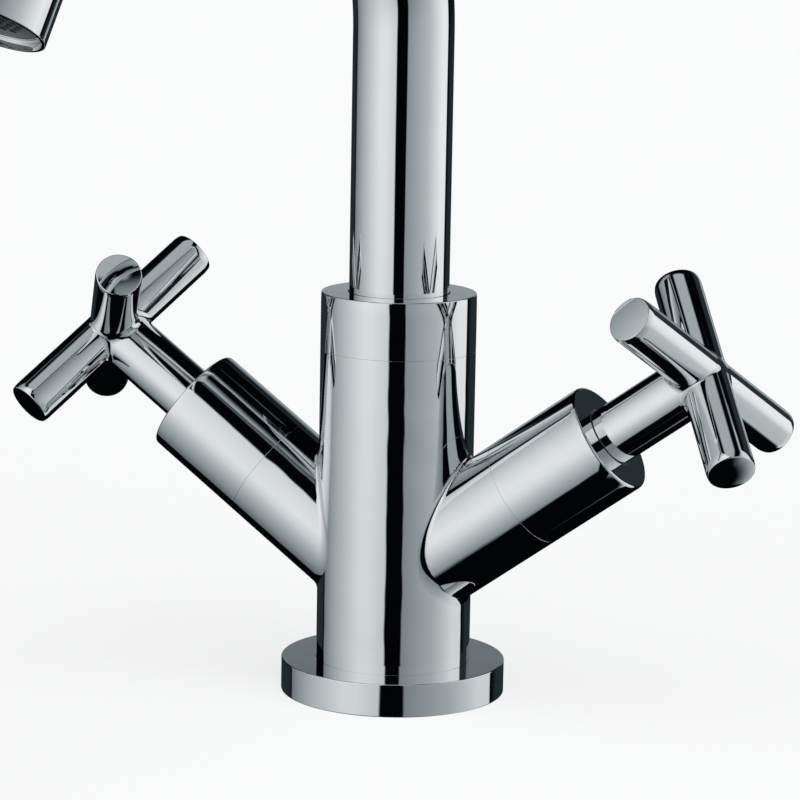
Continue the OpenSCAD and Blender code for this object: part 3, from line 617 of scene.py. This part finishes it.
# The aerator: a chromed ring screwed into the spout's end, with a grey plastic honeycomb, a
# strainer behind it and a rubber washer.
aerator_in_r, aerator_r, aerator_face, aerator_back = 10.85, 12.55, 28.4, 21.9
aerator_ring = turned("aerator_ring_skin", [
    (aerator_in_r, aerator_back, hidden_edge), (aerator_r, aerator_back, hidden_edge),
    (aerator_r, aerator_face, fine_edge), (aerator_in_r, aerator_face, edge),
], place=end_place, segments=tube_segments)
dressed(aerator_ring, "spout", turned_chrome, "chrome", "aerator_ring")
grey_plastic = finished("grey_plastic", moulding,
                        {"Grain Depth": 5e-6, "Low Roughness": 0.3, "High Roughness": 0.5},
                        [(0.17, 0.19, 0.20), (0.12, 0.135, 0.14)])
carried(grey_plastic, "aerator_honeycomb", "aerator_strainer")
carried(black_rubber, "aerator_washer")


# The collar: a turned and chromed ring that screws into the body and holds the spout down.
collar_top_z, collar_base_z, collar_bore_r, collar_thread_r = 110, 84.1, 13.8, 17
collar_ease, collar_drop = 4, 0.08
collar = turned("body_collar_skin", [
    (collar_bore_r, collar_base_z, hidden_edge), (collar_thread_r, collar_base_z, hidden_edge),
    (collar_thread_r, body_seam_z, hidden_edge), (body_r, body_seam_z, fine_edge),
    (body_r, collar_top_z - collar_ease, 0, True), (body_r - collar_drop, collar_top_z, edge),
    (collar_bore_r, collar_top_z, fine_edge),
], segments=flange_segments)
dressed(collar, "root", turned_chrome, "chrome", "body_collar")


# The camera stands where the photograph was taken from, a little above the cross handles.
# Its place, its axes and its lens were fitted to the tap's outlines in the photograph.
camera_at = Vector((0.32963, -0.83746, 0.24552))
camera_right = Vector((0.92946, 0.36848, 0.01790))
camera_up = Vector((-0.08290, 0.16133, 0.98341))
camera_data = bpy.data.cameras.new("camera")
camera_data.lens = 152.194
camera_data.clip_start, camera_data.clip_end = 0.05, 50
camera = bpy.data.objects.new("camera", camera_data)
camera_axes = Matrix((camera_right, camera_up, camera_right.cross(camera_up))).transposed()
camera.matrix_world = Matrix.Translation(camera_at) @ camera_axes.to_4x4()
bpy.context.scene.collection.objects.link(camera)
bpy.context.scene.camera = camera
bpy.context.scene.view_settings.view_transform = "Standard"


# The studio that the chrome reflects: panels on the left, on the right and overhead, the pale
# backdrop and two dim walls behind the tap, and black cloth between them. Directions are in
# degrees: azimuth 0 is towards the camera's place, and the camera's right is positive.
pale, black_cloth = 0.955, 0.0015
world = bpy.data.worlds.new("studio")
world.use_nodes = True
bpy.context.scene.world = world
sky = world.node_tree
toward = math.atan2(camera_at.x, -camera_at.y)
home, right_hand = (math.sin(toward), -math.cos(toward), 0), (math.cos(toward), math.sin(toward), 0)
way_out = add_node(sky, "TexCoord").outputs["Generated"]
forward, sideways, upward = (
    add_node(sky, "VectorMath", {0: way_out, 1: axis}, operation="DOT_PRODUCT").outputs["Value"]
    for axis in (home, right_hand, (0, 0, 1)))
azimuth = maths(sky, "DEGREES", maths(sky, "ARCTAN2", sideways, forward))
behind = maths(sky, "DEGREES", maths(sky, "ARCTAN2", maths(sky, "MULTIPLY", sideways, -1),
                                     maths(sky, "MULTIPLY", forward, -1)))
elevation = maths(sky, "DEGREES", maths(sky, "ARCSINE", upward))

panel, takes, gives = shader_group(
    "studio_panel", {"Across": 0.0, "Along": 0.0, "Left": 0.0, "Right": 0.0, "Bottom": 0.0,
                     "Top": 0.0, "Side Blur": 2.0, "End Blur": 4.0}, ["Mask"])
inside = []
for way, low, high, blur in (("Across", "Left", "Right", "Side Blur"),
                             ("Along", "Bottom", "Top", "End Blur")):
    past_low = maths(panel, "SUBTRACT", takes[way], takes[low])
    before_high = maths(panel, "SUBTRACT", takes[high], takes[way])
    depth = maths(panel, "MINIMUM", past_low, before_high)
    inside.append(spread(panel, depth, maths(panel, "MULTIPLY", takes[blur], -1), takes[blur], 0, 1,
                         "SMOOTHSTEP"))
panel.links.new(maths(panel, "MULTIPLY", *inside), gives["Mask"])


def lit_panel(across, along, *falloffs, left, right, bottom, top, side_blur, end_blur):
    """The light of a panel between its four soft sides, dimmed by its falloffs."""
    sockets = {"Across": across, "Along": along, "Left": left, "Right": right,
               "Bottom": bottom, "Top": top, "Side Blur": side_blur, "End Blur": end_blur}
    light = add_node(sky, "Group", sockets, node_tree=panel).outputs["Mask"]
    for falloff in falloffs:
        light = maths(sky, "MULTIPLY", light, falloff)
    return light


left_edge = maths(sky, "ADD", spread(sky, elevation, -14, -5, -12.9, -14.7),
                  spread(sky, elevation, -3, 6, 0, 3.2))
right_edge = spread(sky, elevation, -14, -8, 11.9, 10.2)
left_panel = lit_panel(
    azimuth, elevation,
    maths(sky, "MINIMUM", spread(sky, azimuth, -125, -52, 0.26, 0.93),
          spread(sky, azimuth, -38, -12, 0.93, 0.75)),
    spread(sky, elevation, -45, -6, spread(sky, azimuth, -95, -50, 0.58, 0.44), 1),
    spread(sky, elevation, -4, 15, 1, 1.05),
    left=-127, right=left_edge, bottom=-51, top=spread(sky, azimuth, -98, -60, 54, 66),
    side_blur=1.5, end_blur=5)
right_panel = lit_panel(
    azimuth, elevation,
    spread(sky, azimuth, 13, 60, 0.34, 0.58), spread(sky, azimuth, 60, 100, 1, 1.72),
    spread(sky, elevation, -16, -6, 0.76, 1), spread(sky, elevation, 10, 45, 1, 0.75),
    left=right_edge, right=121, bottom=spread(sky, azimuth, 50, 70, -62, -66), top=54,
    side_blur=1.3, end_blur=5)
backdrop = lit_panel(
    behind, elevation,
    spread(sky, elevation, 1, 9, 0.6, 0.32), spread(sky, elevation, 9, 24, 1, 0),
    left=-33, right=13, bottom=0, top=40, side_blur=5, end_blur=3)
low_wall_light, side_wall_light, top_light = 0.027, 0.032, 0.47
low_wall = lit_panel(behind, elevation, low_wall_light,
                     left=-50, right=50, bottom=-19, top=-3, side_blur=8, end_blur=3)
side_wall = lit_panel(behind, elevation, side_wall_light,
                      left=-64, right=-26, bottom=2, top=34, side_blur=5, end_blur=5)
# The one overhead lies flat, so its sides are distances on a plane, in shares of its height.
rise = maths(sky, "MAXIMUM", upward, 0.01)
across_plane, along_plane = (maths(sky, "DIVIDE", part, rise) for part in (sideways, forward))
top_panel = lit_panel(across_plane, along_plane, top_light, left=-0.4, right=0.25,
                      bottom=-0.2, top=0.62, side_blur=0.06, end_blur=0.05)
light = black_cloth
for source in (left_panel, right_panel, backdrop, low_wall, side_wall, top_panel):
    light = maths(sky, "MAXIMUM", source, light)
# The panels' cloth is a little bluer where it is dimmer.
tint = add_node(sky, "CombineColor", {"Red": maths(sky, "POWER", light, 1.11), "Green": light,
                                      "Blue": maths(sky, "POWER", light, 0.97)})
rays = add_node(sky, "LightPath").outputs
seen = maths(sky, "MAXIMUM", rays["Is Camera Ray"], rays["Is Transmission Ray"])
shown = add_node(sky, "Mix", {"Factor": seen}, data_type="RGBA")
sky.links.new(tint.outputs["Color"], shown.inputs["A"])
shown.inputs["B"].default_value = (pale, pale, pale, 1)
sky.links.new(shown.outputs["Result"], sky.nodes["Background"].inputs["Color"])


# The floor: a plain pale sheet that keeps the tap's soft shadow and shows in no reflection.
# A wide, soft lamp lights it from above.
floor_half, floor_glow, floor_white, mottle_size = 6, 0.72, 0.3, 40
corners = [(-floor_half, -floor_half, 0), (floor_half, -floor_half, 0),
           (floor_half, floor_half, 0), (-floor_half, floor_half, 0)]
floor_mesh = bpy.data.meshes.new("floor")
floor_mesh.from_pydata(corners, [], [(0, 1, 2, 3)])
floor = bpy.data.objects.new("floor", floor_mesh)
bpy.context.scene.collection.objects.link(floor)
floor_paint = bpy.data.materials.new("pale_floor")
floor_paint.use_nodes = True
paint = floor_paint.node_tree
shader = paint.nodes["Principled BSDF"]
mottle = noise(paint, add_node(paint, "TexCoord").outputs["Object"], mottle_size)
paint.links.new(spread(paint, mottle, 0.3, 0.7, 0.85, 0.95), shader.inputs["Roughness"])
shader.inputs["Base Color"].default_value = (floor_white, floor_white, floor_white, 1)
shader.inputs["Specular IOR Level"].default_value = 0
shader.inputs["Emission Color"].default_value = (floor_glow, floor_glow, floor_glow, 1)
straight_rays = add_node(paint, "LightPath").outputs["Is Camera Ray"]
paint.links.new(straight_rays, shader.inputs["Emission Strength"])
floor.data.materials.append(floor_paint)
floor.visible_glossy = False
floor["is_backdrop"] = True

lamp_data = bpy.data.lights.new("soft_lamp", "SUN")
lamp_data.energy, lamp_data.angle = 1.6, math.radians(70)
lamp = bpy.data.objects.new("soft_lamp", lamp_data)
lamp_from = Vector((0.5, -0.35, 1))
lamp.rotation_euler = lamp_from.to_track_quat("Z", "Y").to_euler()
lamp.visible_glossy = False
bpy.context.scene.collection.objects.link(lamp)

low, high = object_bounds()
